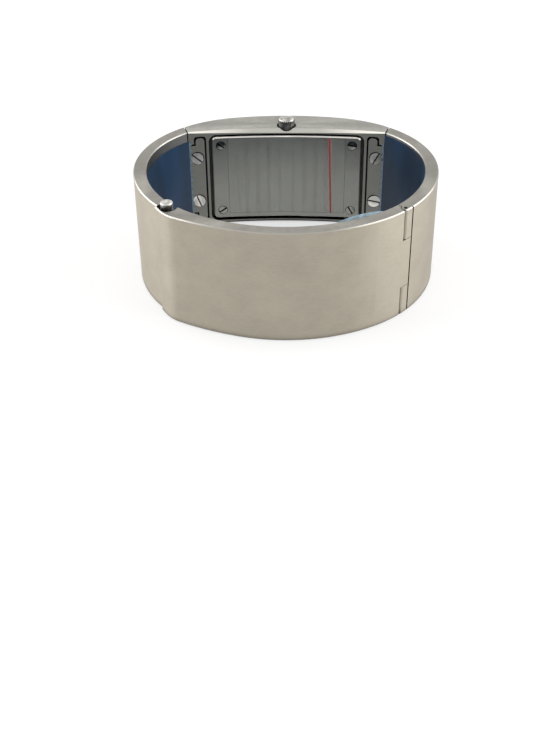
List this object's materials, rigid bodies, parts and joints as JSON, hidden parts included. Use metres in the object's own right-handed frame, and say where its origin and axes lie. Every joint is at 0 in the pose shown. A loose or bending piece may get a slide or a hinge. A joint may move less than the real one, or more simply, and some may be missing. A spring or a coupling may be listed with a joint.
{
  "type": "bangle watch",
  "caption": "Bangle watch with a curved rectangular head, screwed-on bands, and a hinged front gate that a press button latches; it lies on its side edge.",
  "frame": {"origin": "centre of the closed bracelet's outline, on the surface that its side edge lies on", "axes": "+X to the hinge side, +Y from the gate to the dial, +Z along the wrist, up as it lies, towards the crown"},
  "size_m": [0.0636, 0.054, 0.0261],
  "materials": {
    "brushed_band": "brushed",
    "case_back_steel": "brushed",
    "polished_steel": "polished",
    "dark_steel": "satin",
    "blue_film": "glossy",
    "clear_film": "glossy",
    "crystal_glass": "polished",
    "seal_rubber": "matte",
    "dial_lacquer": "satin",
    "movement_brass": "satin",
    "holder_plastic": "matte",
    "cell_steel": "polished",
    "coil_copper": "satin",
    "board_resin": "satin"
  },
  "bodies": {
    "watch_frame": {"case_body": "brushed_band", "case_back": "case_back_steel", "case_back_gasket": "seal_rubber", "case_back_screws": "polished_steel", "case_back_film": "clear_film", "crystal": "crystal_glass", "crystal_gasket": "seal_rubber", "dial_ring": "dark_steel", "dial": "dial_lacquer", "dial_markers": "polished_steel", "minute_wheel_stud": "dark_steel", "movement_plate": "movement_brass", "movement_holder": "holder_plastic", "battery": "cell_steel", "battery_strap": "cell_steel", "motor_coil": "coil_copper", "motor_coil_core": "dark_steel", "circuit_board": "board_resin", "quartz_can": "cell_steel", "gear_train_cover": "cell_steel", "stem_tube": "dark_steel", "stem_bearing": "cell_steel", "left_band": "brushed_band", "right_band": "brushed_band", "left_band_screws": "polished_steel", "right_band_screws": "polished_steel", "left_film": "blue_film", "right_film": "blue_film", "hinge_pin": "dark_steel"},
    "gate": {"gate": "brushed_band", "gate_film": "blue_film", "locating_pin": "dark_steel", "latch_spring": "dark_steel"},
    "latch_button": {"latch_button": "polished_steel", "latch_clip": "dark_steel"},
    "minute_hand": {"minute_hand": "polished_steel", "cannon_pinion": "movement_brass"},
    "hour_hand": {"hour_hand": "polished_steel", "hour_wheel": "movement_brass"},
    "minute_wheel": {"minute_wheel": "movement_brass"},
    "stem_clutch": {"stem_clutch": "dark_steel"},
    "crown": {"crown": "polished_steel", "winding_stem": "dark_steel", "crown_gasket": "seal_rubber"}
  },
  "joints": [
    {"name": "gate_hinge", "type": "hinge", "parent": "watch_frame", "child": "gate", "pos_m": [0.02312, -0.01717, 0.01205], "axis": [0, 0, 1], "range_deg": [0, 110]},
    {"name": "latch_press", "type": "slide", "parent": "gate", "child": "latch_button", "axis": [0, 0, -1], "range_m": [0, 0.001], "stiffness_N_per_m": 300, "springref_m": -0.001, "deforming": ["latch_spring"]},
    {"name": "crown_turn", "type": "hinge", "parent": "watch_frame", "child": "stem_clutch", "pos_m": [0, 0.02135, 0.0241], "axis": [0, 0, 1], "continuous": true},
    {"name": "crown_pull", "type": "slide", "parent": "stem_clutch", "child": "crown", "axis": [0, 0, 1], "range_m": [0, 0.001]},
    {"name": "minute_hand_turn", "type": "hinge", "parent": "watch_frame", "child": "minute_hand", "pos_m": [0, 0.0232, 0.01205], "axis": [0, -1, 0], "continuous": true},
    {"name": "hour_hand_turn", "type": "hinge", "parent": "watch_frame", "child": "hour_hand", "pos_m": [0, 0.0232, 0.01205], "axis": [0, -1, 0], "continuous": true},
    {"name": "minute_wheel_turn", "type": "hinge", "parent": "watch_frame", "child": "minute_wheel", "pos_m": [0.002, 0.0232, 0.01205], "axis": [0, -1, 0], "continuous": true}
  ],
  "couplings": [
    {"joint": "hour_hand_turn", "follows": "minute_hand_turn", "ratio": 0.083333},
    {"joint": "minute_wheel_turn", "follows": "minute_hand_turn", "ratio": -0.33333}
  ]
}
